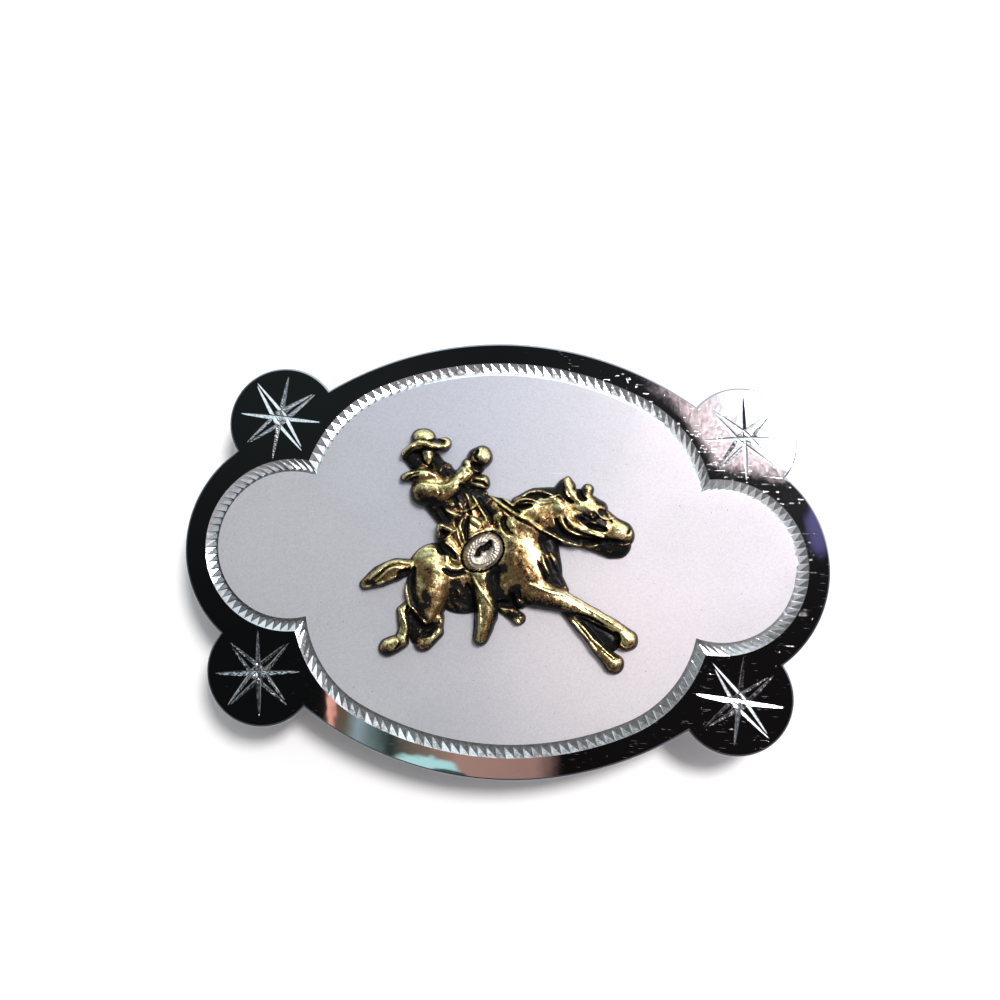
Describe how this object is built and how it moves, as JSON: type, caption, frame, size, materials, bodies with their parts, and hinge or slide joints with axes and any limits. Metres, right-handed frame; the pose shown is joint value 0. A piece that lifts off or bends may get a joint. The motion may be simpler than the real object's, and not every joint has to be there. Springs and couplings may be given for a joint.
{
  "type": "western belt buckle",
  "caption": "Scalloped western belt buckle: polished nickel-silver plate with cut border and corner stars, brass rider on a galloping horse, loop and hook behind.",
  "frame": {"origin": "under the middle of the plate, on the surface that the buckle rests on face up", "axes": "+X along the belt, towards the hook's end and the way the horse faces; +Y towards the rider's head; +Z out of the plate's face"},
  "size_m": [0.095, 0.064, 0.0119],
  "materials": {
    "polished_nickel": "mirror-polished rim with bright-cut border and stars, frosted middle field",
    "antique_brass": "cast brass, worn bright on the high places and blackened in the recesses",
    "plain_nickel": "plain satin wire and peg"
  },
  "bodies": {
    "root": {"plate": "polished_nickel", "rider_ornament": "antique_brass", "belt_loop": "plain_nickel", "belt_hook": "plain_nickel"}
  },
  "joints": []
}
